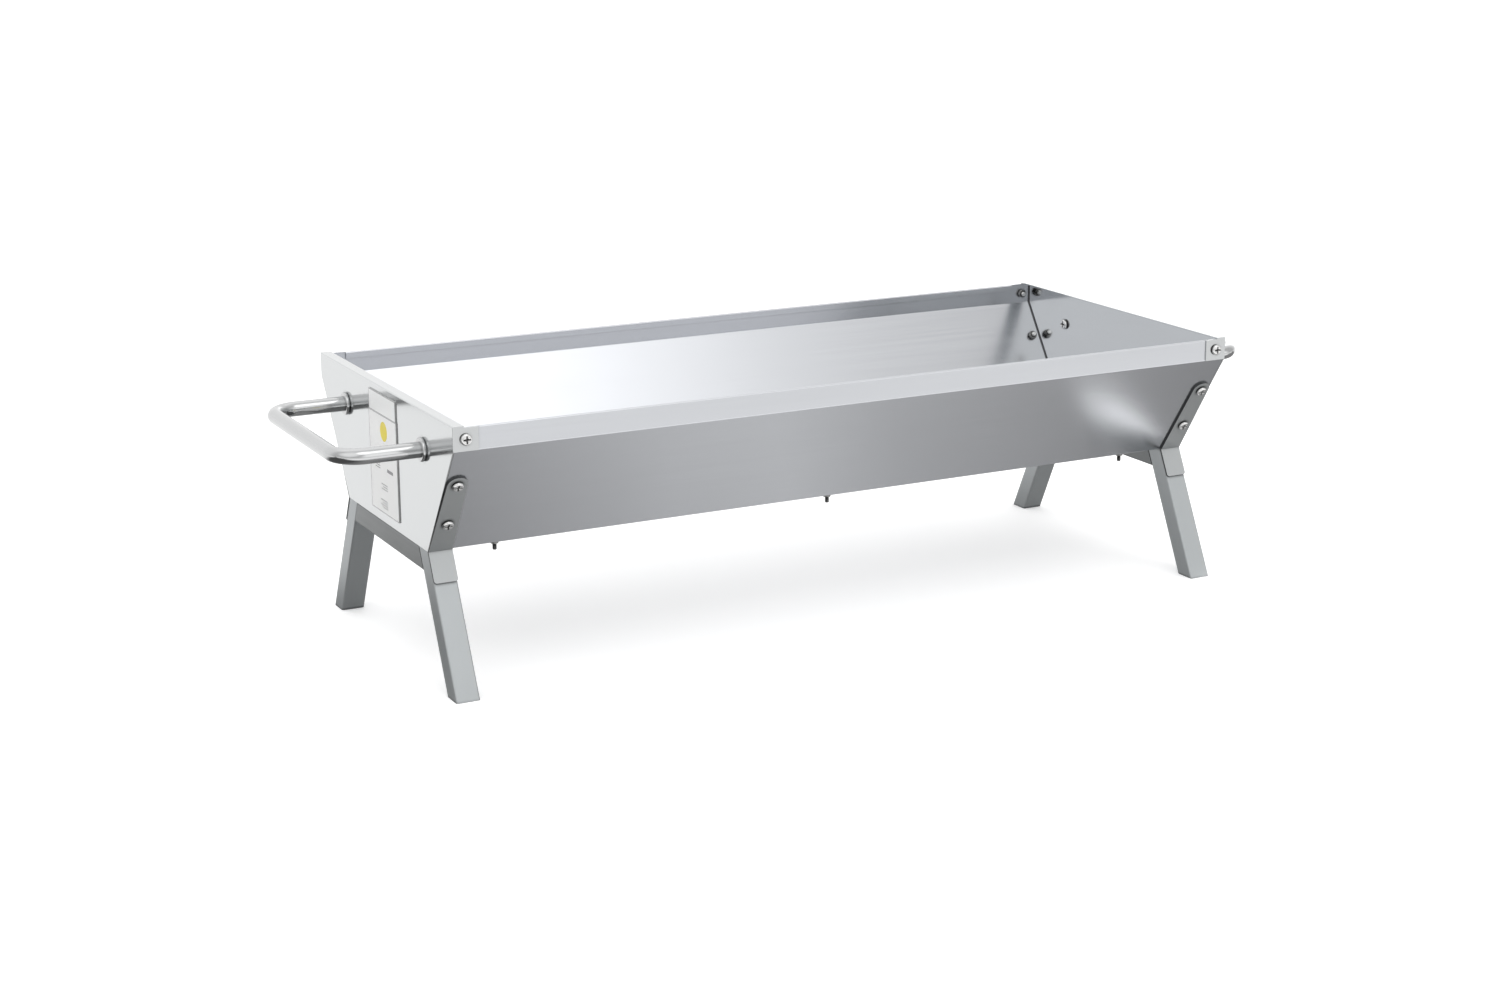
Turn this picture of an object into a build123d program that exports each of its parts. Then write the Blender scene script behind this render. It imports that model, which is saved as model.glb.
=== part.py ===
from build123d import *
import os
from math import cos, hypot, pi

# Stainless trough on four splayed legs, with a U-shaped handle at each end.
# Frame: origin on the ground under the trough's centre, X along the trough, +Z up.
# The front is -Y and the left is -X. All sizes are in millimetres.

# ---- Trough: overall sizes
trough_length = 800.0        # over the outer faces of the end panels
rim_width = 344.0            # over the outer faces of the two upright rims
floor_width = 206.0          # flat floor, from bend to bend
floor_height = 120.5         # underside of the floor above the ground
rim_bend_height = 224.0      # where each sloping side turns upright
panel_top_height = 246.0     # top of the end panels

# ---- Trough: sheet metal
sheet = 1.2                  # thickness of the trough and end panel sheet
body_bend_radius = 2.2       # outside radius of the trough's four long bends
rim_step = 1.5               # the rims stop this far below the end panels' tops
hem_depth = 6.5              # height of the folded edge inside each rim
hem_end_margin = 24.0        # the folded edge stops this far from the end panels' outer faces
panel_joint_gap = 0.2        # between the trough's cut end and the end panel
lip_width = 10.0             # inward lip along the top of each end panel
tab_length = 23.0            # end panel tab that wraps round the outside of a rim
tab_corner_radius = 1.0
panel_bend_radius = 1.0      # outside radius of the lip and tab bends, less than the sheet
seal_width = 0.8             # sealing strip in the joint between trough and end panel
hem_edge_rounding = 1.15     # the folded edge is nearly half round along its top

# ---- Leg frames: rectangular tube
tube_width = 22.0            # along X
tube_depth = 20.0            # across the tube, in the plane of the leg frame
tube_wall = 1.5
tube_corner_radius = 1.8
leg_splay = 59.0             # how far each foot stands out from the floor's bend

# ---- Straps that hold the leg frames to the sloping sides
strap_thickness = 2.0
strap_up = 93.5              # length of the flap on the sloping side
strap_down = 29.0            # length of the flap on the leg
strap_top_width = 18.5
strap_top_radius = 9.0
strap_bottom_radius = 2.5
strap_bend_radius = 1.5      # in the hollow of the bend
strap_screw_offsets = (35.5, 84.0)   # up the sloping side from the bend

# ---- Handles: round tube
handle_spacing = 200.0       # between the two ends of a handle
handle_reach = 74.0          # end panel to the centre of the grip
handle_height = 211.3
handle_diameter = 14.0
handle_wall = 1.2
handle_bend_radius = 24.0    # at the tube's centre line
handle_insert_length = 14.0
insert_chamfer = 0.5
handle_washer_diameter = 21.5
handle_washer_thickness = 3.5
handle_washer_edge = 1.4     # rounding of the washer's two outer edges
handle_screw_reach = 10.0    # thread inside the handle's insert

# ---- M5 fasteners (corners, straps and handles) and M4 fasteners (floor)
m5_thread = 5.0
m5_clearance_hole = 5.5
m5_head_diameter = 10.5
m5_head_height = 3.4
m5_nut_flats = 8.0
m5_nut_height = 4.0
m4_thread = 4.0
m4_clearance_hole = 4.5
m4_head_diameter = 8.0
m4_head_height = 2.8
m4_nut_flats = 7.0
m4_nut_height = 3.2
thread_clearance = 0.05      # between a thread and the hole it runs in, on the radius
insert_clearance = 0.05      # between a handle insert and the tube's bore, on the radius
thread_proud = 2.5           # M5 thread that shows past its nut
head_rounding = 0.62         # share of the head's height that is rounded
recess_width_share = 0.14    # cross recess: slot width over head diameter
recess_length_share = 0.66   # cross recess: slot length over head diameter
recess_depth_share = 0.55    # cross recess: depth over head height
recess_taper = 14.0          # degrees
thread_chamfer = 0.5
nut_chamfer = 0.6

# ---- Floor bolts
floor_bolt_pitch = 334.5     # along X, one in the middle and one to each side
floor_bolt_inset = 9.5       # from the floor's bend
floor_bolt_drop = 9.0        # from the floor's underside to the bolt's tip

# ---- Plates on the left end panel
plate_thickness = 1.0
plate_corner_radius = 0.8
name_plate_width = 69.0
name_plate_height = 19.0
notice_plate_width = 71.0
notice_plate_height = 91.0
plates_meet_height = 220.5   # top of the notice plate, bottom of the name plate

# ---- Worked out from the sizes above
half_length = trough_length / 2
half_rim = rim_width / 2
half_floor = floor_width / 2
rim_top_height = panel_top_height - rim_step
body_half_length = half_length - sheet - panel_joint_gap
tab_outer_y = half_rim + sheet
rim_mid_height = (rim_bend_height + rim_top_height) / 2
leg_x = half_length - tube_width / 2
corner_screw_x = half_length - tab_length / 2
cut_margin = 40.0            # how far cutting shapes run past what they cut
hole_cut_length = 16.0       # more than any sheet, strap or washer, and less than to the next one
near_plane = 0.01            # how near a vertex is to count as lying on a plane

side_run = half_rim - half_floor
side_rise = rim_bend_height - floor_height
side_length = hypot(side_run, side_rise)
leg_length = hypot(leg_splay, floor_height)
side_normal = Vector(0, -side_rise, -side_run) / side_length      # out of the front side
leg_normal = Vector(0, -floor_height, leg_splay) / leg_length     # out of the front legs


# ---- Fasteners, each standing on the XY plane with its head up
def pan_head_screw(thread, head_diameter, head_height, length):
    """Screw with a rounded head and a cross recess; the head's seat is at z = 0."""
    head = Pos(0, 0, head_height / 2) * Cylinder(head_diameter / 2, head_height)
    rim = head.edges().filter_by(GeomType.CIRCLE).sort_by(Axis.Z)[-1]
    head = fillet(rim, head_height * head_rounding)
    slot_length = head_diameter * recess_length_share
    slot_width = head_diameter * recess_width_share
    cross = Rectangle(slot_length, slot_width) + Rectangle(slot_width, slot_length)
    depth = head_height * recess_depth_share
    recess = extrude(Pos(0, 0, head_height) * cross, amount=-depth, taper=recess_taper)
    shank = Pos(0, 0, -length / 2) * Cylinder(thread / 2, length)
    tip = shank.edges().filter_by(GeomType.CIRCLE).sort_by(Axis.Z)[0]
    return head - recess + chamfer(tip, thread_chamfer)


def hex_nut(thread, flats, height):
    """Chamfered hexagon nut; its seat is at z = 0 and it stands up from there."""
    blank = extrude(RegularPolygon(flats / 2, 6, major_radius=False), amount=height)
    across_corners = flats / cos(pi / 6)
    turned = Pos(0, 0, height / 2) * Cylinder(across_corners / 2, height)
    turned = chamfer(turned.edges().filter_by(GeomType.CIRCLE), nut_chamfer)
    bore = Cylinder(thread / 2 + thread_clearance, cut_margin)
    return (blank & turned) - bore


def clearance_hole(diameter):
    """Cutting shape for a hole, centred on the sheet that it goes through."""
    return Cylinder(diameter / 2, hole_cut_length)


# ---- Places: each Location has its Z axis along the fastener, pointing at its head
def corner_screw_places():
    """On the outer faces of the four corner tabs."""
    places = []
    for side in (-1, 1):
        for end in (-1, 1):
            spot = Vector(end * corner_screw_x, side * tab_outer_y, rim_mid_height)
            places.append(Plane(spot, x_dir=(1, 0, 0), z_dir=(0, side, 0)).location)
    return places


def strap_plane(side, end):
    """On the outside of a sloping side: origin at its lower bend, Y axis up the slope."""
    origin = Vector(end * leg_x, side * half_floor, floor_height)
    normal = Vector(0, -side * side_normal.Y, side_normal.Z)
    return Plane(origin, x_dir=(-side, 0, 0), z_dir=normal)


def strap_hole_places():
    """On the outsides of the sloping sides, two for each strap."""
    places = []
    for side in (-1, 1):
        for end in (-1, 1):
            for offset in strap_screw_offsets:
                places.append(strap_plane(side, end).location * Pos(0, offset, 0))
    return places


def handle_screw_places():
    """On the inner faces of the end panels, two for each handle."""
    places = []
    for end in (-1, 1):
        for side in (-1, 1):
            spot = Vector(end * (half_length - sheet), side * handle_spacing / 2, handle_height)
            places.append(Plane(spot, x_dir=(0, 1, 0), z_dir=(-end, 0, 0)).location)
    return places


def floor_bolt_places():
    """On the inner face of the floor, three along each side."""
    places = []
    for side in (-1, 1):
        for step in (-1, 0, 1):
            y = side * (half_floor - floor_bolt_inset)
            places.append(Pos(step * floor_bolt_pitch, y, floor_height + sheet))
    return places


# ---- Trough
def trough_outline(inset, top, bend_radius=body_bend_radius):
    """The trough's cross-section, moved inwards by inset and closed at height top."""
    corners = [
        (-half_rim, top + inset),
        (-half_rim, rim_bend_height),
        (-half_floor, floor_height),
        (half_floor, floor_height),
        (half_rim, rim_bend_height),
        (half_rim, top + inset),
    ]
    outline = Polygon(*corners, align=None)
    if bend_radius:
        bends = outline.vertices().filter_by_position(Axis.Y, 0, rim_bend_height + near_plane)
        outline = fillet(bends, bend_radius)
    if inset:
        outline = offset(outline, amount=-inset)
    return outline


def rim_hem(side):
    """The rounded, folded edge along the inside of one rim."""
    hem_length = 2 * (half_length - hem_end_margin)
    thickness = 2 * sheet
    profile = Pos(0, hem_depth / 2) * Rectangle(thickness, hem_depth)
    top_corners = profile.vertices().group_by(Axis.Y)[-1]
    profile = fillet(top_corners, hem_edge_rounding)
    spot = Vector(0, side * (half_rim - sheet), rim_top_height - hem_depth)
    section = Plane(spot, x_dir=(0, 1, 0), z_dir=(1, 0, 0)) * profile
    return extrude(section, hem_length / 2, both=True)


def make_trough_body():
    """One sheet: floor, two sloping sides and two upright rims with folded edges."""
    outer = trough_outline(0, rim_top_height)
    inner = trough_outline(sheet, rim_top_height + cut_margin)
    body = extrude(Plane.YZ * (outer - inner), body_half_length, both=True)
    hem_room = Box(2 * (half_length - hem_end_margin), 4 * sheet, 2 * hem_depth)
    for side in (-1, 1):
        body -= Pos(0, side * half_rim, rim_top_height) * hem_room
        body += rim_hem(side)
    for place in corner_screw_places():
        body -= place * clearance_hole(m5_clearance_hole)
    for place in strap_hole_places():
        body -= place * clearance_hole(m5_clearance_hole)
    for place in floor_bolt_places():
        body -= place * clearance_hole(m4_clearance_hole)
    return body


def make_end_panel():
    """The left end panel: a plate with an inward top lip, and corner tabs as high as the rims."""
    outline = trough_outline(0, panel_top_height, bend_radius=0)
    plate = extrude(Plane.YZ.offset(-half_length) * outline, sheet)
    lip = Box(lip_width, 2 * tab_outer_y, sheet, align=(Align.MIN, Align.CENTER, Align.MAX))
    panel = plate + Pos(-half_length, 0, panel_top_height) * lip
    low_corner = (Align.MIN, Align.CENTER, Align.MIN)
    for side in (-1, 1):
        corner = Pos(-half_length, side * (half_rim + sheet / 2), rim_bend_height)
        tab = Box(tab_length, sheet, rim_top_height - rim_bend_height, align=low_corner)
        free_corners = tab.edges().filter_by(Axis.Y).group_by(Axis.X)[-1]
        panel += corner * fillet(free_corners, tab_corner_radius)
        panel += corner * Box(lip_width, sheet, panel_top_height - rim_bend_height, align=low_corner)
    outer_face = (-half_length - near_plane, -half_length + near_plane)
    outer_edges = panel.edges().filter_by_position(Axis.X, *outer_face)
    upright = outer_edges.filter_by(Axis.Z)
    top = outer_edges.filter_by(Axis.Y).group_by(Axis.Z)[-1]
    panel = fillet(upright + top, panel_bend_radius)
    for place in corner_screw_places() + handle_screw_places():
        panel -= place * clearance_hole(m5_clearance_hole)
    return panel


def make_end_seal():
    """Sealing strip in the left inside corner, between the trough and its end panel."""
    outer = trough_outline(sheet, rim_top_height)
    strip = outer - trough_outline(sheet + seal_width, rim_top_height + cut_margin)
    return extrude(Plane.YZ.offset(-half_length + sheet) * strip, seal_width)


# ---- Leg frames
def tube_section(width, depth):
    outer = RectangleRounded(width, depth, tube_corner_radius)
    bore = Rectangle(width - 2 * tube_wall, depth - 2 * tube_wall)
    return outer - bore


def make_leg():
    """The front left leg, cut level at the ground and under the trough's floor."""
    head = Vector(-leg_x, -half_floor, floor_height) - leg_normal * (tube_depth / 2)
    section = Plane(head, x_dir=(1, 0, 0), z_dir=(0, -leg_splay, -floor_height))
    tube = extrude(section * tube_section(tube_width, tube_depth), leg_length + cut_margin, both=True)
    above_ground = (Align.CENTER, Align.CENTER, Align.MIN)
    level = Box(tube_width, 2 * leg_splay + cut_margin, floor_height, align=above_ground)
    return tube & Pos(-leg_x, -half_floor, 0) * level


def make_cross_tube():
    """The left cross tube, under the trough's floor, with its ends cut to meet the legs."""
    middle = Vector(-leg_x, 0, floor_height - tube_depth / 2)
    section = Plane(middle, x_dir=(1, 0, 0), z_dir=(0, 1, 0))
    tube = extrude(section * tube_section(tube_width, tube_depth), floor_width, both=True)
    leg_across = tube_depth * leg_length / floor_height     # a leg's depth, measured level
    top_y = half_floor - leg_across
    foot_y = top_y + leg_splay
    span = Polygon((-top_y, floor_height), (top_y, floor_height), (foot_y, 0), (-foot_y, 0), align=None)
    return tube & extrude(Plane.YZ * span, trough_length, both=True)


def strap_profile():
    """The front strap from the side: its two flaps, meeting at the floor's bend."""
    bend = Vector(0, -half_floor, floor_height)
    up = Vector(0, -side_run, side_rise) / side_length
    down = Vector(0, -leg_splay, -floor_height) / leg_length
    outer_share = strap_thickness / (1 + side_normal.dot(leg_normal))
    hollow = bend + (side_normal + leg_normal) * outer_share
    top = bend + up * strap_up
    bottom = bend + down * strap_down
    outer_top = top + side_normal * strap_thickness
    outer_bottom = bottom + leg_normal * strap_thickness
    points = [top, bend, bottom, outer_bottom, hollow, outer_top]
    profile = Polygon(*[(point.Y, point.Z) for point in points], align=None)
    for corner, radius in ((bend, strap_bend_radius + strap_thickness), (hollow, strap_bend_radius)):
        nearest = profile.vertices().sort_by_distance((corner.Y, corner.Z))[0]
        profile = fillet(nearest, radius)
    return profile


def make_strap():
    """The front left strap: a tapered flap on the sloping side and a short one on the leg."""
    half_base = tube_width / 2
    half_top = strap_top_width / 2
    upper = Polygon((-half_base, -strap_down), (half_base, -strap_down), (half_base, 0),
                    (half_top, strap_up), (-half_top, strap_up), (-half_base, 0), align=None)
    upper = fillet(upper.vertices().group_by(Axis.Y)[-1], strap_top_radius)
    lower = Pos(0, -strap_down) * Rectangle(tube_width, 2 * side_length, align=(Align.CENTER, Align.MIN))
    lower = fillet(lower.vertices().group_by(Axis.Y)[0], strap_bottom_radius)
    leg_plane = Plane(Vector(-leg_x, -half_floor, floor_height), x_dir=(1, 0, 0), z_dir=leg_normal)
    strap = extrude(Plane.YZ.offset(-half_length) * strap_profile(), tube_width, dir=(1, 0, 0))
    strap &= extrude(strap_plane(-1, -1) * upper, cut_margin, both=True)
    strap &= extrude(leg_plane * lower, side_length, both=True)
    for offset in strap_screw_offsets:
        strap -= strap_plane(-1, -1).location * Pos(0, offset, 0) * clearance_hole(m5_clearance_hole)
    return strap


# ---- Handles
def handle_path():
    """Centre line of the left handle, from its back end to its front end."""
    start_x = -half_length - handle_washer_thickness
    grip_x = -half_length - handle_reach
    y = handle_spacing / 2
    corners = [(start_x, y, handle_height), (grip_x, y, handle_height),
               (grip_x, -y, handle_height), (start_x, -y, handle_height)]
    return FilletPolyline(*corners, radius=handle_bend_radius)


def make_handle():
    path = handle_path()
    ring = Circle(handle_diameter / 2) - Circle(handle_diameter / 2 - handle_wall)
    section = Plane(path @ 0, x_dir=(0, 1, 0), z_dir=path % 0) * ring
    return sweep(section, path=path)


def handle_washer():
    """Standing on the XY plane."""
    middle = Pos(0, 0, handle_washer_thickness / 2)
    disc = middle * Cylinder(handle_washer_diameter / 2, handle_washer_thickness)
    disc = fillet(disc.edges().filter_by(GeomType.CIRCLE), handle_washer_edge)
    return disc - middle * clearance_hole(m5_clearance_hole)


def handle_insert():
    """Threaded plug inside the end of a handle, with its end face on the XY plane."""
    middle = Pos(0, 0, handle_insert_length / 2)
    radius = handle_diameter / 2 - handle_wall - insert_clearance
    plug = middle * Cylinder(radius, handle_insert_length)
    plug = chamfer(plug.edges().filter_by(GeomType.CIRCLE), insert_chamfer)
    return plug - middle * Cylinder(m5_thread / 2 + thread_clearance, 2 * handle_insert_length)


# ---- Plates
def make_plate(width, height, bottom):
    plate = extrude(RectangleRounded(width, height, plate_corner_radius), plate_thickness)
    face = Plane(Vector(-half_length, 0, bottom + height / 2), x_dir=(0, -1, 0), z_dir=(-1, 0, 0))
    return face * plate


# ---- Groups of fasteners
def through_both_sheets(places, screw, nut, grip, head_seat=0.0):
    """Screws with their heads head_seat outside the places, and nuts at the far side of the grip."""
    screws = [place * Pos(0, 0, head_seat) * screw for place in places]
    nuts = [place * Pos(0, 0, head_seat - grip) * Rot(X=180) * nut for place in places]
    return screws, nuts


def m5_screw(length):
    return pan_head_screw(m5_thread, m5_head_diameter, m5_head_height, length)


def corner_fasteners():
    grip = 2 * sheet
    screw = m5_screw(grip + m5_nut_height + thread_proud)
    nut = hex_nut(m5_thread, m5_nut_flats, m5_nut_height)
    return through_both_sheets(corner_screw_places(), screw, nut, grip)


def strap_fasteners():
    grip = strap_thickness + sheet
    screw = m5_screw(grip + m5_nut_height + thread_proud)
    nut = hex_nut(m5_thread, m5_nut_flats, m5_nut_height)
    return through_both_sheets(strap_hole_places(), screw, nut, grip, strap_thickness)


def floor_fasteners():
    screw = pan_head_screw(m4_thread, m4_head_diameter, m4_head_height, sheet + floor_bolt_drop)
    nut = hex_nut(m4_thread, m4_nut_flats, m4_nut_height)
    return through_both_sheets(floor_bolt_places(), screw, nut, sheet)


def handle_fasteners():
    """Screws, washers and inserts at the four handle ends."""
    screw = m5_screw(sheet + handle_washer_thickness + handle_screw_reach)
    screws = [place * screw for place in handle_screw_places()]
    washers = [place * Pos(0, 0, -sheet) * Rot(X=180) * handle_washer() for place in handle_screw_places()]
    seat = -sheet - handle_washer_thickness
    inserts = [place * Pos(0, 0, seat) * Rot(X=180) * handle_insert() for place in handle_screw_places()]
    return screws, washers, inserts


# ---- All nodes
def to_right(part):
    return mirror(part, about=Plane.YZ)


def to_back(part):
    return mirror(part, about=Plane.XZ)


def build_nodes():
    nodes = {"trough_body": make_trough_body()}
    for name, left in (("end_panel", make_end_panel()), ("end_seal", make_end_seal()),
                       ("cross_tube", make_cross_tube()), ("handle", make_handle())):
        nodes[name + "_left"] = left
        nodes[name + "_right"] = to_right(left)
    for name, front_left in (("leg", make_leg()), ("strap", make_strap())):
        nodes[name + "_front_left"] = front_left
        nodes[name + "_front_right"] = to_right(front_left)
        nodes[name + "_back_left"] = to_back(front_left)
        nodes[name + "_back_right"] = to_back(to_right(front_left))
    nodes["corner_screws"], nodes["corner_nuts"] = corner_fasteners()
    nodes["strap_screws"], nodes["strap_nuts"] = strap_fasteners()
    nodes["floor_bolts"], nodes["floor_nuts"] = floor_fasteners()
    nodes["handle_screws"], nodes["handle_washers"], nodes["handle_inserts"] = handle_fasteners()
    nodes["name_plate"] = make_plate(name_plate_width, name_plate_height, plates_meet_height)
    notice_bottom = plates_meet_height - notice_plate_height
    nodes["notice_plate"] = make_plate(notice_plate_width, notice_plate_height, notice_bottom)
    return nodes


os.makedirs("parts", exist_ok=True)
for node, shape in build_nodes().items():
    pieces = shape if isinstance(shape, list) else [shape]
    solids = [solid for piece in pieces for solid in piece.solids()]
    export_step(Compound(children=solids) if len(solids) > 1 else solids[0], f"parts/{node}.step")
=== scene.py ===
import math
import bpy
import bmesh
from mathutils import Matrix, Vector


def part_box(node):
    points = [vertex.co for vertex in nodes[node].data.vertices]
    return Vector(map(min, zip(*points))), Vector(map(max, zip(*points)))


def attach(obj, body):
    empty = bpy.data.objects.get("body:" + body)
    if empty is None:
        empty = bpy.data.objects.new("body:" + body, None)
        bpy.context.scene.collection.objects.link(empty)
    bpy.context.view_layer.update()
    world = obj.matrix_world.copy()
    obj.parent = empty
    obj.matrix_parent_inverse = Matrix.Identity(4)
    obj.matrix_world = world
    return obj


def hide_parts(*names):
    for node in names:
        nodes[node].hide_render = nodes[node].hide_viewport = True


# Stainless trough on splayed legs: materials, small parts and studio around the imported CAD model.
# Frame: metres, origin on the ground under the trough's centre, X along the trough, +Z up,
# the front is -Y and the left is -X.

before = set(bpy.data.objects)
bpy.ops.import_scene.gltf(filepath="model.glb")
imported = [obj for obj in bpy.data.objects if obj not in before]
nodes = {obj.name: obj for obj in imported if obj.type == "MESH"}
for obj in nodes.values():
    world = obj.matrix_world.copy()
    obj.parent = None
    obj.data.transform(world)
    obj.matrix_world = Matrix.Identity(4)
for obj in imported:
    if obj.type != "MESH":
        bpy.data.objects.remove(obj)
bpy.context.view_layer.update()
scene = bpy.context.scene
MM = 0.001

# ---- Camera
CAMERA_PLACE = (-1.1284, -2.1160, 0.7375)
CAMERA_AZIMUTH = -28.549     # degrees round Z; 0 looks along +Y
CAMERA_ELEVATION = 13.684    # degrees above the horizon
CAMERA_ROLL = 0.056
CAMERA_LENS = 61.18
CAMERA_SENSOR = 36.0
CAMERA_SHIFT = (-0.0338, -0.0414)

# ---- Threads: radius and pitch
M5_THREAD = (2.5 * MM, 0.8 * MM)
M4_THREAD = (2.0 * MM, 0.7 * MM)
THREAD_DEPTH_SHARE = 0.55    # depth over pitch
THREAD_STEPS = 6             # rings in one pitch
THREAD_SIDES = 20
THREAD_TIP = 0.5 * MM        # chamfer at the thread's end
HEAD_OVERLAP = 0.3 * MM      # how far the threaded shank reaches into its head
WELD = 0.001 * MM            # vertices nearer than this are one
HEAD_SLACK = 0.1 * MM        # a vertex this far outside the thread belongs to the head
SEAT_SLACK = 0.01 * MM       # a vertex this far below the head's seat belongs to the shank
SHARP_ANGLE = 35.0           # degrees; flatter edges of the screws are shaded smooth

# ---- Prints on the plates
PRINT_GAP = 0.01 * MM
PRINT_PROUD = 0.04 * MM
PLATE_BORDER = 0.5 * MM      # width of the dark line round the plates
PLATE_MARGIN = 0.2 * MM      # outside that line
DISC_SIDES = 48
DISC_PLACE = (-2.5 * MM, 14.5 * MM)      # across from the plate's middle, and down from its top
DISC_RADIUS = 9.0 * MM
MARK_PLACE = (-16.0 * MM, 49.0 * MM)     # one thick bar
MARK_SIZE = (15.0 * MM, 3.0 * MM)
ROW_PITCH = 2.2 * MM
ROW_HEIGHT = 0.8 * MM
SHORT_ROW_SHARE = 0.75                   # every second row is this much of the others
# Blocks of rows: across from the plate's middle, down from its top, number of rows, width.
ROW_BLOCKS = (
    (16.0 * MM, 46.0 * MM, 3, 12.0 * MM),
    (0.0, 64.0 * MM, 3, 16.0 * MM),
    (2.0 * MM, 79.0 * MM, 4, 18.0 * MM),
)


# ---- Finishes shared by the materials; a tint is a share of the material's own colour
NOISE_MIDDLE = (0.3, 0.7)
NOISE_ROUGHNESS = 0.55
EDGE_STARTS = 0.99           # cosines between the true and the rounded normal
EDGE_FULL = 0.80
CREVICE_FULL = 0.60          # how open the surroundings are, from 0 to 1
CREVICE_ENDS = 0.97
STREAK_STRETCH = 0.15        # streaks are this much of the grain's scale
STREAK_SMUDGE = 0.4          # how much of the smudges' roughness the streaks add
STEEL_CLOUD_SCALE = 7.0
STEEL_GRAIN_DARK = 0.988
STEEL_GRAIN_PALE = 1.008
STEEL_SMOOTHER = 0.96
STEEL_ROUGHER = 1.04
LEAST_ROUGHNESS = 0.03
SMUDGE_STARTS = 0.35
SMUDGE_FULL = 0.7
SMUDGE_MIX = 0.6
SMUDGE_TINT = 0.97
WORN_TINT = 1.25
# Painted shade: corners and recesses darken towards this share, by ambient occlusion
CREVICE_SHADE_TINT = 0.05
# Painted shade on the straps' cut edges
EDGE_SHADE_TINT = 0.16
MATT_CLOUD_SCALE = 60.0
MATT_GRAIN_DARK = 0.96
MATT_GRAIN_PALE = 1.03
MATT_SMOOTHER = 0.85
MATT_ROUGHER = 1.15
MATT_GRAIN_DEPTH = 0.006 * MM
# Painted shade on the plates' cut edges
PLATE_EDGE_SHADE_TINT = 0.40
# Faces that get the painted edge shade: the axis, and the limits for cut_edge_mask
STRAP_SHADED_EDGES = ("Y", 0.80, 0.70)      # a strap's broad faces lean, but all face mostly front or back
PLATE_SHADED_EDGES = ("X", 0.80, 0.60)

# ---- Node helpers
materials = {}


def new_material(name):
    """A material kept above under its name, with a plain shader. Returns its tree and shader."""
    material = bpy.data.materials.new(name)
    materials[name] = material
    material.use_nodes = True
    tree = material.node_tree
    tree.nodes.clear()
    output = tree.nodes.new("ShaderNodeOutputMaterial")
    shader = tree.nodes.new("ShaderNodeBsdfPrincipled")
    tree.links.new(shader.outputs["BSDF"], output.inputs["Surface"])
    return tree, shader


def set_input(tree, socket, value):
    """Links a value that comes from a node, and sets any other."""
    if isinstance(value, bpy.types.NodeSocket):
        tree.links.new(value, socket)
    else:
        socket.default_value = value


def add_node(tree, kind, **values):
    """A node with its properties and, by input name, its values or links set."""
    node = tree.nodes.new(kind)
    for name, value in values.items():
        if hasattr(node, name):
            setattr(node, name, value)
        else:
            set_input(tree, node.inputs[name.replace("_", " ")], value)
    return node


def noise(tree, stretch, scale, detail):
    """Noise in object space, in metres; stretch is its scale along X, Y and Z."""
    place = tree.nodes.new("ShaderNodeTexCoord")
    mapping = add_node(tree, "ShaderNodeMapping", Vector=place.outputs["Object"], Scale=stretch)
    return add_node(tree, "ShaderNodeTexNoise", Vector=mapping.outputs["Vector"], Scale=scale,
                    Detail=detail, Roughness=NOISE_ROUGHNESS).outputs["Fac"]


def remap(tree, value, low, high, to_low, to_high):
    """Brings low..high of a value to to_low..to_high, and keeps it between them."""
    node = add_node(tree, "ShaderNodeMapRange", Value=value)
    for name, number in (("From Min", low), ("From Max", high), ("To Min", to_low), ("To Max", to_high)):
        node.inputs[name].default_value = number
    return node.outputs["Result"]


def around_middle(tree, noise_value, low, high):
    """Low to high over the middle range of a noise, where most of its values are."""
    return remap(tree, noise_value, NOISE_MIDDLE[0], NOISE_MIDDLE[1], low, high)


def arithmetic(tree, operation, first, second):
    node = add_node(tree, "ShaderNodeMath", operation=operation)
    for socket, value in zip(node.inputs, (first, second)):
        set_input(tree, socket, value)
    return node.outputs["Value"]


def mix_colors(tree, factor, first, second):
    """The first colour at factor 0 and the second at 1. A colour mix has its inputs at 0, 6 and 7."""
    node = add_node(tree, "ShaderNodeMix", data_type="RGBA")
    for number, value in ((0, factor), (6, first), (7, second)):
        set_input(tree, node.inputs[number], value)
    return node.outputs[2]


def shade(color, factor):
    """A colour made darker or paler, with its alpha."""
    return tuple(min(1.0, channel * factor) for channel in color) + (1.0,)


def edge_mask(tree, radius):
    """1 on edges and 0 on flat faces, from how far a rounded normal turns away from the true one,
    and that rounded normal."""
    rounded = add_node(tree, "ShaderNodeBevel", samples=4, Radius=radius)
    geometry = tree.nodes.new("ShaderNodeNewGeometry")
    dot = add_node(tree, "ShaderNodeVectorMath", operation="DOT_PRODUCT")
    tree.links.new(rounded.outputs["Normal"], dot.inputs[0])
    tree.links.new(geometry.outputs["Normal"], dot.inputs[1])
    mask = remap(tree, dot.outputs["Value"], EDGE_STARTS, EDGE_FULL, 0.0, 1.0)
    return mask, rounded.outputs["Normal"]


def crevice_shade_mask(tree, distance):
    """1 in corners, recesses and round things that touch the surface, and 0 in the open, from ambient
    occlusion: the steel darkens there as painted shade.
    """
    occlusion = add_node(tree, "ShaderNodeAmbientOcclusion", samples=12, Distance=distance)
    return remap(tree, occlusion.outputs["AO"], CREVICE_FULL, CREVICE_ENDS, 1.0, 0.0)


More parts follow.
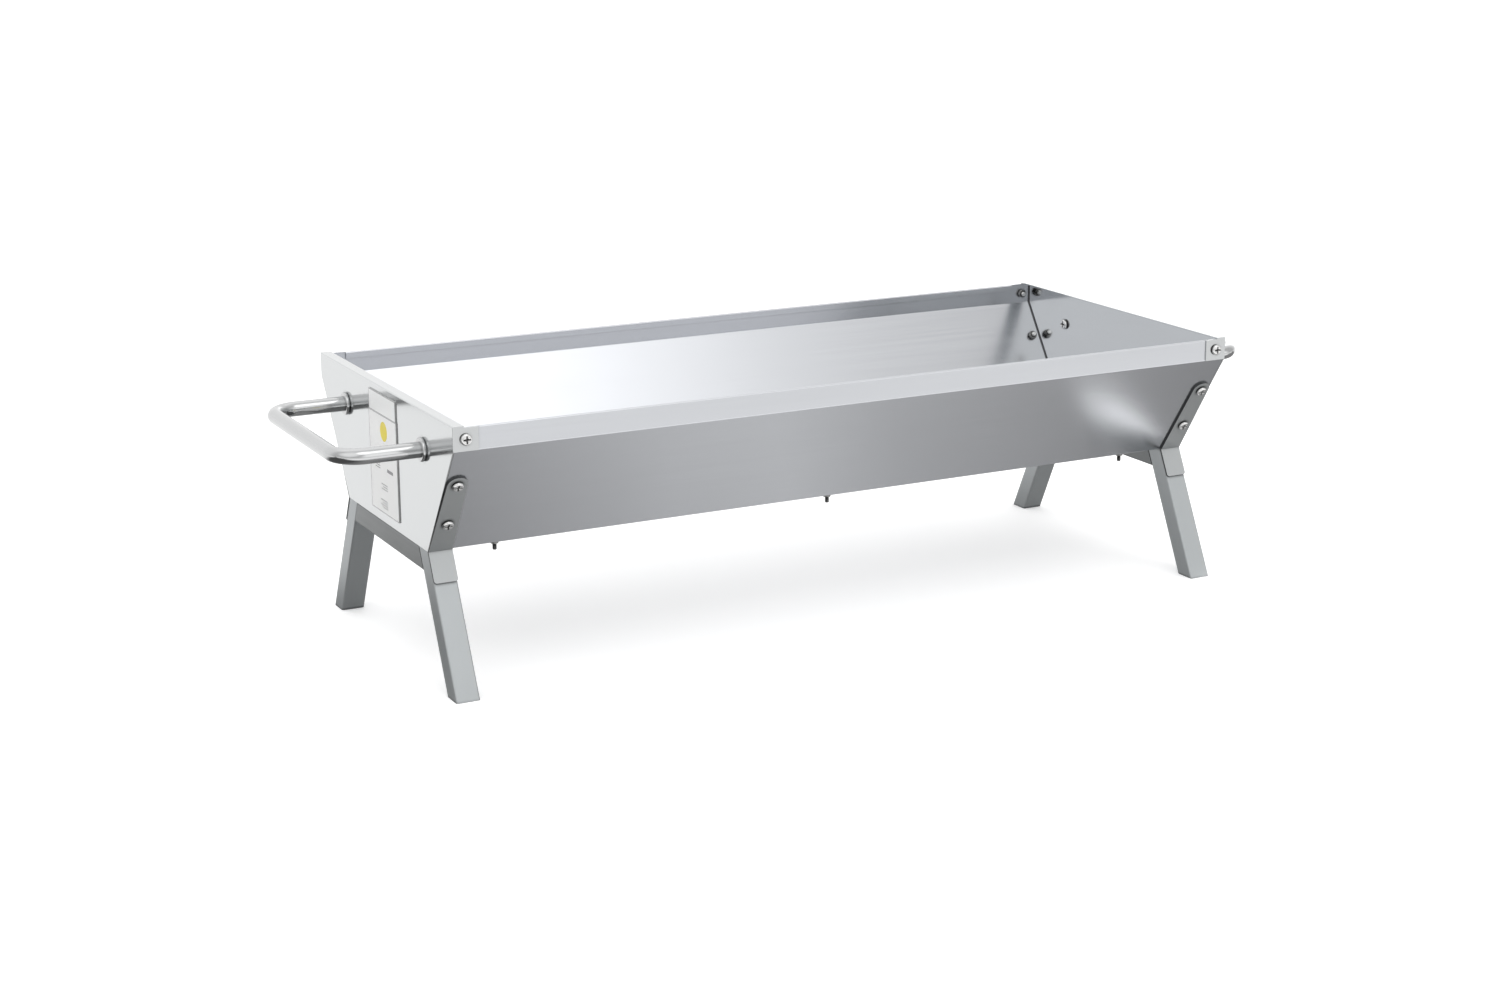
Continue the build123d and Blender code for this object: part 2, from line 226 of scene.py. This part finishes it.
def cut_edge_mask(tree, axis, broad, narrow):
    """1 on a plate's cut edges and 0 on its broad faces, from the normal's size along one axis: where the
    edges get painted shade.
    """
    geometry = tree.nodes.new("ShaderNodeNewGeometry")
    split = tree.nodes.new("ShaderNodeSeparateXYZ")
    tree.links.new(geometry.outputs["True Normal"], split.inputs["Vector"])
    size = arithmetic(tree, "ABSOLUTE", split.outputs[axis], 0.0)
    return remap(tree, size, narrow, broad, 1.0, 0.0)


def bumped_normal(tree, height, depth, normal=None):
    bump = tree.nodes.new("ShaderNodeBump")
    bump.inputs["Distance"].default_value = depth
    tree.links.new(height, bump.inputs["Height"])
    if normal:
        tree.links.new(normal, bump.inputs["Normal"])
    return bump.outputs["Normal"]


# ---- Metals and other finishes
def steel(name, color, roughness, grain, grain_depth, grain_detail=2.0, metallic=1.0,
          anisotropy=0.0, tangent_axis=None, smudge=0.03, wear=0.3, crevice_shade=0.5,
          crevice_shade_reach=3.0 * MM, edge_radius=0.35 * MM, dark_edges=None):
    """Stainless steel with a drawn or brushed grain, faint smudges, bright worn edges, and painted shade in
    corners and recesses.
    grain is the noise scale along X, Y and Z: low along the grain and high across it.
    dark_edges gives the axis and limits of cut_edge_mask for plates whose cut edges are darkened as painted
    shade."""
    tree, shader = new_material(name)
    fine = noise(tree, grain, 1.0, detail=grain_detail)
    streaks = noise(tree, tuple(STREAK_STRETCH * value for value in grain), 1.0, detail=2.0)
    cloud = noise(tree, (1.0, 1.0, 1.0), STEEL_CLOUD_SCALE, detail=2.0)
    edges, rounded_normal = edge_mask(tree, edge_radius)

    grain_mix = around_middle(tree, fine, 0.0, 1.0)
    tint = mix_colors(tree, grain_mix, shade(color, STEEL_GRAIN_DARK), shade(color, STEEL_GRAIN_PALE))
    smudge_mix = remap(tree, cloud, SMUDGE_STARTS, SMUDGE_FULL, 0.0, SMUDGE_MIX)
    tint = mix_colors(tree, smudge_mix, tint, shade(color, SMUDGE_TINT))
    tint = mix_colors(tree, arithmetic(tree, "MULTIPLY", edges, wear), tint, shade(color, WORN_TINT))
    # painted shade: corners and recesses found by ambient occlusion darken
    painted_crevice_shade = arithmetic(tree, "MULTIPLY", crevice_shade_mask(tree, crevice_shade_reach), crevice_shade)
    tint = mix_colors(tree, painted_crevice_shade, tint, shade(color, CREVICE_SHADE_TINT))
    # painted shade on the cut edges
    if dark_edges:
        tint = mix_colors(tree, cut_edge_mask(tree, *dark_edges), tint, shade(color, EDGE_SHADE_TINT))
    tree.links.new(tint, shader.inputs["Base Color"])

    rough = around_middle(tree, fine, roughness * STEEL_SMOOTHER, roughness * STEEL_ROUGHER)
    rough = arithmetic(tree, "ADD", rough, around_middle(tree, cloud, -smudge, smudge))
    streak = STREAK_SMUDGE * smudge
    rough = arithmetic(tree, "ADD", rough, around_middle(tree, streaks, -streak, streak))
    tree.links.new(arithmetic(tree, "MAXIMUM", rough, LEAST_ROUGHNESS), shader.inputs["Roughness"])
    tree.links.new(bumped_normal(tree, fine, grain_depth, rounded_normal), shader.inputs["Normal"])

    shader.inputs["Metallic"].default_value = metallic
    if tangent_axis:
        shader.inputs["Anisotropic"].default_value = anisotropy
        tangent = add_node(tree, "ShaderNodeTangent", direction_type="RADIAL", axis=tangent_axis)
        tree.links.new(tangent.outputs["Tangent"], shader.inputs["Tangent"])


def matt(name, color, roughness, grain_scale, dark_edges=None):
    """Unglossy material with fine grain and slight unevenness: plates, inks, and the strip in the end
    seams, whose near-black colour is painted shade of the seam gap.
    """
    tree, shader = new_material(name)
    grain = noise(tree, (1.0, 1.0, 1.0), grain_scale, detail=2.0)
    cloud = noise(tree, (1.0, 1.0, 1.0), MATT_CLOUD_SCALE, detail=2.0)
    grain_mix = around_middle(tree, grain, 0.0, 1.0)
    tint = mix_colors(tree, grain_mix, shade(color, MATT_GRAIN_DARK), shade(color, MATT_GRAIN_PALE))
    # painted shade on the cut edges
    if dark_edges:
        tint = mix_colors(tree, cut_edge_mask(tree, *dark_edges), tint, shade(color, PLATE_EDGE_SHADE_TINT))
    tree.links.new(tint, shader.inputs["Base Color"])
    rough = around_middle(tree, cloud, roughness * MATT_SMOOTHER, roughness * MATT_ROUGHER)
    tree.links.new(rough, shader.inputs["Roughness"])
    tree.links.new(bumped_normal(tree, grain, MATT_GRAIN_DEPTH), shader.inputs["Normal"])


def make_materials():
    """Steel: colour, roughness, the grain's scale along X, Y and Z, and its depth in metres.
    Matt: colour, roughness and the grain's scale."""
    # Corner darkening in the calls below is painted shade in corners and recesses.
    steel("sheet_steel", (0.60, 0.612, 0.637), 0.235, (5, 320, 320), 0.0000002,
          grain_detail=1.0, anisotropy=0.45, tangent_axis="X", crevice_shade=0.15, smudge=0.012)
    steel("panel_steel", (0.61, 0.623, 0.627), 0.14, (600, 9, 600), 0.0000003,
          smudge=0.015, crevice_shade=0.15, wear=0.6)
    steel("tube_steel", (0.42, 0.44, 0.448), 0.45, (700, 700, 22), 0.0000030, metallic=0.75, wear=0.5)
    # The cross tube is the legs' tube steel at a darker colour: painted shade
    steel("cross_tube_shaded_steel", (0.23, 0.238, 0.24), 0.45, (700, 22, 700), 0.0000030, metallic=0.75, wear=0.5)
    steel("strap_steel", (0.41, 0.424, 0.428), 0.42, (700, 700, 30), 0.0000030, metallic=0.75, wear=0.1,
          dark_edges=STRAP_SHADED_EDGES)
    steel("handle_steel", (0.54, 0.545, 0.548), 0.15, (500, 60, 500), 0.0000004, smudge=0.02, crevice_shade=0.1)
    steel("fastener_steel", (0.70, 0.70, 0.695), 0.16, (900, 900, 900), 0.0000010, crevice_shade=1.0,
          crevice_shade_reach=4.0 * MM, edge_radius=0.2 * MM)
    steel("nut_steel", (0.27, 0.27, 0.265), 0.36, (900, 900, 900), 0.0000020, crevice_shade=1.0,
          edge_radius=0.2 * MM)
    # The strip in the end seams is near black as painted shade of the seam gap
    matt("seal_strip", (0.10, 0.10, 0.105), 0.55, 1200.0)
    matt("name_plate", (0.95, 0.96, 0.958), 0.35, 2500.0, dark_edges=PLATE_SHADED_EDGES)
    matt("notice_plate", (0.96, 0.965, 0.96), 0.35, 2500.0, dark_edges=PLATE_SHADED_EDGES)
    matt("print_grey", (0.30, 0.30, 0.31), 0.45, 3000.0)
    matt("print_line", (0.26, 0.26, 0.27), 0.45, 3000.0)
    matt("print_yellow", (0.90, 0.74, 0.02), 0.40, 3000.0)


NODE_MATERIALS = {
    "trough_body": "sheet_steel",
    "end_panel": "panel_steel",
    # the end seams' strip: near black as painted shade of the gap
    "end_seal": "seal_strip",
    # the cross tube's darker steel is painted shade
    "cross_tube": "cross_tube_shaded_steel",
    "leg": "tube_steel",
    "strap": "strap_steel",
    "handle_left": "handle_steel",
    "handle_right": "handle_steel",
    "name_plate": "name_plate",
    "notice_plate": "notice_plate",
}


def material_of(node):
    """The material of a fastener by its last word, or else of the listed start of the node's name."""
    if node.endswith(("nuts", "bolts")):
        return "nut_steel"
    if node.endswith(("screws", "inserts")):
        return "fastener_steel"
    if node.endswith("washers"):
        return "handle_steel"
    return next(NODE_MATERIALS[start] for start in NODE_MATERIALS if node.startswith(start))


def dress_nodes():
    for name, node in nodes.items():
        material = materials[material_of(name)]
        node.data.materials.clear()
        node.data.materials.append(material)


# ---- Studio: soft lights painted on the world as (aim, inner angle, outer angle, strength)
WORLD_BASE = 0.72
SOFT_LIGHTS = {
    "back_wall": ((0.0, 1.0, 0.15), 50.0, 85.0, 0.42),
    "back_right": ((0.66, 0.72, 0.20), 8.0, 20.0, 0.50),
    "ceiling": ((0.20, 0.10, 1.0), 25.0, 45.0, 0.25),
    "key": ((0.12, -0.57, 0.80), 13.0, 23.0, 1.4),
    "front_wall": ((0.46, -0.87, 0.05), 12.0, 42.0, 0.75),
    "front_left": ((-0.57, -0.51, 0.645), 10.0, 40.0, 0.60),
}
# What the metal reflects of the floor, as (place, level) along X and across Y; the paler one counts.
FLOOR_ALONG = ((-0.55, 0.10), (-0.42, 0.34), (-0.10, 0.74), (0.02, 0.80), (0.15, 0.62), (0.36, 0.46),
               (0.60, 0.30))
FLOOR_ACROSS = ((-1.10, 0.90), (-0.80, 0.95), (-0.60, 1.30), (-0.38, 1.30), (-0.29, 0.0), (0.12, 0.0),
                (0.30, 1.05), (1.10, 1.05))
BEAM_PLACE = (0.422, -0.150, 0.0)    # middle of a long narrow patch of light on the floor
BEAM_TURN = 36.0                     # degrees from X
BEAM_SIZE = (0.060, 0.013, 1.0)      # half its length and half its width
BEAM_LEVEL = 2.9
BEAM_FADE = (0.4, 1.3)               # from full to none, as shares of that size
FLOOR_LIT = 0.5              # the reflected level is half the floor's colour and half its own light
FLOOR_SEEN = 0.95            # how pale the camera sees it
FLOOR_GLOW = 0.30            # how much the camera's floor shines by itself, for a light shadow
FLOOR_ROUGHNESS = 0.8
FLOOR_REACH = 40.0


def ramp(tree, value, points):
    """Straight-line levels between (place, level) points."""
    first, last = points[0][0], points[-1][0]
    node = tree.nodes.new("ShaderNodeValToRGB")
    tree.links.new(remap(tree, value, first, last, 0.0, 1.0), node.inputs["Fac"])
    stops = node.color_ramp.elements
    while len(stops) < len(points):
        stops.new(0.5)
    for stop, (place, _) in zip(stops, points):
        stop.position = (place - first) / (last - first)
    for stop, (_, level) in zip(stops, points):
        stop.color = (level, level, level, 1.0)
    return node.outputs["Color"]


def make_floor():
    """Floor that the camera sees plain and pale. Other rays, such as the metal's reflections, see
    darker and paler bands and the beam instead, as if cards lay there out of sight."""
    mesh = bpy.data.meshes.new("studio_floor")
    corners = [(x * FLOOR_REACH, y * FLOOR_REACH, 0.0) for x, y in ((-1, -1), (1, -1), (1, 1), (-1, 1))]
    mesh.from_pydata(corners, [], [(0, 1, 2, 3)])
    floor = bpy.data.objects.new("studio_floor", mesh)
    scene.collection.objects.link(floor)
    tree, shader = new_material("studio_floor")
    place = tree.nodes.new("ShaderNodeTexCoord")
    split = tree.nodes.new("ShaderNodeSeparateXYZ")
    tree.links.new(place.outputs["Object"], split.inputs["Vector"])
    along = ramp(tree, split.outputs["X"], FLOOR_ALONG)
    across = ramp(tree, split.outputs["Y"], FLOOR_ACROSS)
    from_beam = add_node(tree, "ShaderNodeMapping", vector_type="TEXTURE", Vector=place.outputs["Object"],
                         Location=BEAM_PLACE, Rotation=(0.0, 0.0, math.radians(BEAM_TURN)), Scale=BEAM_SIZE)
    reach = add_node(tree, "ShaderNodeVectorMath", operation="LENGTH")
    tree.links.new(from_beam.outputs["Vector"], reach.inputs[0])
    beam = remap(tree, reach.outputs["Value"], BEAM_FADE[0], BEAM_FADE[1], BEAM_LEVEL, 0.0)
    level = arithmetic(tree, "MAXIMUM", arithmetic(tree, "MAXIMUM", along, across), beam)
    seen = tree.nodes.new("ShaderNodeLightPath").outputs["Is Camera Ray"]
    lit = arithmetic(tree, "MULTIPLY", level, FLOOR_LIT)
    color = mix_colors(tree, seen, lit, shade((1, 1, 1), FLOOR_SEEN))
    tree.links.new(color, shader.inputs["Base Color"])
    glow = mix_colors(tree, seen, lit, shade((1, 1, 1), FLOOR_GLOW))
    tree.links.new(glow, shader.inputs["Emission Color"])
    shader.inputs["Emission Strength"].default_value = 1.0
    shader.inputs["Roughness"].default_value = FLOOR_ROUGHNESS
    shader.inputs["Specular IOR Level"].default_value = 0.0
    mesh.materials.append(materials["studio_floor"])


def soft_light(tree, direction, aim, inner, outer, strength):
    """A round light in the world: full inside the inner angle, nothing past the outer one."""
    facing = add_node(tree, "ShaderNodeVectorMath", operation="DOT_PRODUCT")
    tree.links.new(direction, facing.inputs[0])
    facing.inputs[1].default_value = Vector(aim).normalized()
    edge = add_node(tree, "ShaderNodeMapRange", interpolation_type="SMOOTHSTEP",
                    Value=facing.outputs["Value"])
    limits = (("From Min", math.cos(math.radians(outer))), ("From Max", math.cos(math.radians(inner))),
              ("To Min", 0.0), ("To Max", strength))
    for name, number in limits:
        edge.inputs[name].default_value = number
    return edge.outputs["Result"]


def make_studio():
    make_floor()
    world = bpy.data.worlds.new("studio")
    scene.world = world
    world.use_nodes = True
    tree = world.node_tree
    direction = tree.nodes.new("ShaderNodeTexCoord").outputs["Generated"]
    total = WORLD_BASE
    for light in SOFT_LIGHTS.values():
        total = arithmetic(tree, "ADD", soft_light(tree, direction, *light), total)
    background = tree.nodes["Background"]
    background.inputs["Color"].default_value = (1.0, 1.0, 1.0, 1.0)
    tree.links.new(total, background.inputs["Strength"])


def make_camera():
    data = bpy.data.cameras.new("camera")
    data.sensor_width = CAMERA_SENSOR
    data.lens = CAMERA_LENS
    data.shift_x, data.shift_y = CAMERA_SHIFT
    camera = bpy.data.objects.new("camera", data)
    turn = Matrix.Rotation(math.radians(CAMERA_AZIMUTH), 4, "Z")
    tilt = Matrix.Rotation(math.radians(90.0 - CAMERA_ELEVATION), 4, "X")
    roll = Matrix.Rotation(math.radians(CAMERA_ROLL), 4, "Z")
    camera.matrix_world = Matrix.Translation(CAMERA_PLACE) @ turn @ tilt @ roll
    scene.collection.objects.link(camera)
    scene.camera = camera


# ---- Screws: the heads of the CAD nodes, on shanks with a real thread
def separate_solids(node):
    """A welded copy of a CAD node's mesh, and the vertices of each of its solids."""
    maker = bmesh.new()
    maker.from_mesh(nodes[node].data)
    bmesh.ops.remove_doubles(maker, verts=maker.verts, dist=WELD)
    solids = []
    seen = set()
    for start in maker.verts:
        if start in seen:
            continue
        seen.add(start)
        solid = [start]
        for vert in solid:
            for edge in vert.link_edges:
                other = edge.other_vert(vert)
                if other not in seen:
                    seen.add(other)
                    solid.append(other)
        solids.append(solid)
    return maker, solids


def middle_of(solid):
    return sum((vert.co for vert in solid), Vector()) / len(solid)


def add_thread(maker, base, axis, length, radius, pitch):
    """A closed threaded rod from base, along axis."""
    depth = pitch * THREAD_DEPTH_SHARE
    across = axis.orthogonal().normalized()
    along = axis.cross(across)
    count = math.ceil(length / pitch * THREAD_STEPS)
    rings = []
    for number in range(count + 1):
        height = length * number / count
        limit = radius - max(0.0, height + THREAD_TIP - length)
        ring = []
        for side in range(THREAD_SIDES):
            phase = (height / pitch - side / THREAD_SIDES) % 1.0
            reach = min(limit, radius - depth * abs(2.0 * phase - 1.0))
            turn = 2 * math.pi * side / THREAD_SIDES
            spot = base + axis * height + (across * math.cos(turn) + along * math.sin(turn)) * reach
            ring.append(maker.verts.new(spot))
        rings.append(ring)
    for low, high in zip(rings, rings[1:]):
        for side in range(THREAD_SIDES):
            after = (side + 1) % THREAD_SIDES
            maker.faces.new((low[side], low[after], high[after], high[side]))
    maker.faces.new(rings[0][::-1])
    maker.faces.new(rings[-1])


def thread_screws(node, partner, radius, pitch):
    """Replaces a node of screws. Each screw's axis runs from its nut or insert to its own middle."""
    partner_maker, partner_solids = separate_solids(partner)
    partner_middles = [middle_of(solid) for solid in partner_solids]
    partner_maker.free()
    maker, solids = separate_solids(node)
    shanks = []
    for solid in solids:
        middle = middle_of(solid)
        mate = min(partner_middles, key=lambda spot: (spot - middle).length)
        up = (middle - mate).normalized()
        heights = {vert: (vert.co - middle).dot(up) for vert in solid}
        head = [vert for vert in solid
                if (vert.co - middle - up * heights[vert]).length > radius + HEAD_SLACK]
        seat = min(heights[vert] for vert in head)
        tip = min(heights.values())
        shanks.append((middle + up * (seat + HEAD_OVERLAP), -up, seat + HEAD_OVERLAP - tip))
        shank = [vert for vert in solid if heights[vert] < seat - SEAT_SLACK]
        bmesh.ops.delete(maker, geom=shank, context="VERTS")
    bmesh.ops.holes_fill(maker, edges=[edge for edge in maker.edges if edge.is_boundary], sides=0)
    for base, down, length in shanks:
        add_thread(maker, base, down, length, radius, pitch)
    bmesh.ops.recalc_face_normals(maker, faces=maker.faces)
    mesh = bpy.data.meshes.new(node + "_threaded")
    maker.to_mesh(mesh)
    maker.free()
    mesh.polygons.foreach_set("use_smooth", [True] * len(mesh.polygons))
    mesh.set_sharp_from_angle(angle=math.radians(SHARP_ANGLE))
    mesh.materials.append(materials[material_of(node)])
    piece = bpy.data.objects.new(node + "_threaded", mesh)
    scene.collection.objects.link(piece)
    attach(piece, "root")
    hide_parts(node)


def make_screws():
    thread_screws("corner_screws", "corner_nuts", *M5_THREAD)
    thread_screws("strap_screws", "strap_nuts", *M5_THREAD)
    thread_screws("handle_screws", "handle_inserts", *M5_THREAD)
    thread_screws("floor_bolts", "floor_nuts", *M4_THREAD)


# ---- Prints on the plates: thin flat shapes just proud of them, placed across Y and up Z
def bar(y, z, width, height):
    """A rectangle with its middle at (y, z)."""
    corners = ((-1, -1), (1, -1), (1, 1), (-1, 1))
    return [(y + side * width / 2, z + up * height / 2) for side, up in corners]


def disc(y, z, radius):
    """A circle's outline."""
    turns = [2 * math.pi * number / DISC_SIDES for number in range(DISC_SIDES)]
    return [(y + radius * math.cos(turn), z + radius * math.sin(turn)) for turn in turns]


def text_block(y, z, rows, width):
    """Rows of small plain bars, as a block of unreadable small print."""
    bars = []
    for row in range(rows):
        length = width * (1.0 if row % 2 == 0 else SHORT_ROW_SHARE)
        bars.append(bar(y - (width - length) / 2, z - row * ROW_PITCH, length, ROW_HEIGHT))
    return bars


def close_loops(mesh_maker, loops, first, second):
    """Faces between two loops of corners, all the way round."""
    for number in range(len(loops[first])):
        after = (number + 1) % len(loops[first])
        mesh_maker.faces.new((loops[first][number], loops[second][number],
                              loops[second][after], loops[first][after]))


def add_slab(mesh_maker, outline, back_x, front_x):
    """A closed flat shape; the outline is a list of (y, z) corners."""
    loops = {"back": [mesh_maker.verts.new((back_x, y, z)) for y, z in outline],
             "front": [mesh_maker.verts.new((front_x, y, z)) for y, z in outline]}
    mesh_maker.faces.new(loops["back"])
    mesh_maker.faces.new(loops["front"][::-1])
    close_loops(mesh_maker, loops, "back", "front")


def add_ring(mesh_maker, outer, inner, back_x, front_x):
    """A closed flat frame between two outlines with as many corners each."""
    loops = {}
    for side, x in (("back", back_x), ("front", front_x)):
        loops[side + "_outer"] = [mesh_maker.verts.new((x, y, z)) for y, z in outer]
        loops[side + "_inner"] = [mesh_maker.verts.new((x, y, z)) for y, z in inner]
    close_loops(mesh_maker, loops, "back_outer", "front_outer")
    close_loops(mesh_maker, loops, "front_outer", "front_inner")
    close_loops(mesh_maker, loops, "front_inner", "back_inner")
    close_loops(mesh_maker, loops, "back_inner", "back_outer")


def print_depths(plate):
    """The X of a print's back and front; the back stands just clear of the plate."""
    back_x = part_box(plate)[0][0] - PRINT_GAP
    return back_x, back_x - PRINT_PROUD


def add_print(name, mesh_maker, material):
    bmesh.ops.recalc_face_normals(mesh_maker, faces=mesh_maker.faces)
    mesh = bpy.data.meshes.new(name)
    mesh_maker.to_mesh(mesh)
    mesh_maker.free()
    mesh.materials.append(materials[material])
    piece = bpy.data.objects.new(name, mesh)
    scene.collection.objects.link(piece)
    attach(piece, "root")


def print_piece(name, outlines, plate, material):
    """One piece of closed flat shapes on a plate."""
    mesh_maker = bmesh.new()
    for outline in outlines:
        add_slab(mesh_maker, outline, *print_depths(plate))
    add_print(name, mesh_maker, material)


def print_border(name, plate, material):
    """A frame along a plate's edges."""
    low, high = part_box(plate)
    middle_y = (low[1] + high[1]) / 2
    middle_z = (low[2] + high[2]) / 2
    width = high[1] - low[1] - 2 * PLATE_MARGIN
    height = high[2] - low[2] - 2 * PLATE_MARGIN
    outer = bar(middle_y, middle_z, width, height)
    inner = bar(middle_y, middle_z, width - 2 * PLATE_BORDER, height - 2 * PLATE_BORDER)
    mesh_maker = bmesh.new()
    add_ring(mesh_maker, outer, inner, *print_depths(plate))
    add_print(name, mesh_maker, material)


def make_prints():
    for plate in ("name_plate", "notice_plate"):
        print_border(plate + "_border", plate, "print_line")
    low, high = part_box("notice_plate")
    middle_y = (low[1] + high[1]) / 2
    top = high[2]
    yellow = disc(middle_y + DISC_PLACE[0], top - DISC_PLACE[1], DISC_RADIUS)
    print_piece("notice_plate_disc", [yellow], "notice_plate", "print_yellow")
    marks = [bar(middle_y + MARK_PLACE[0], top - MARK_PLACE[1], *MARK_SIZE)]
    for across, down, rows, width in ROW_BLOCKS:
        marks += text_block(middle_y + across, top - down, rows, width)
    print_piece("notice_plate_marks", marks, "notice_plate", "print_grey")


make_camera()
make_studio()
make_materials()
dress_nodes()
make_screws()
make_prints()
scene.view_settings.view_transform = "Standard"
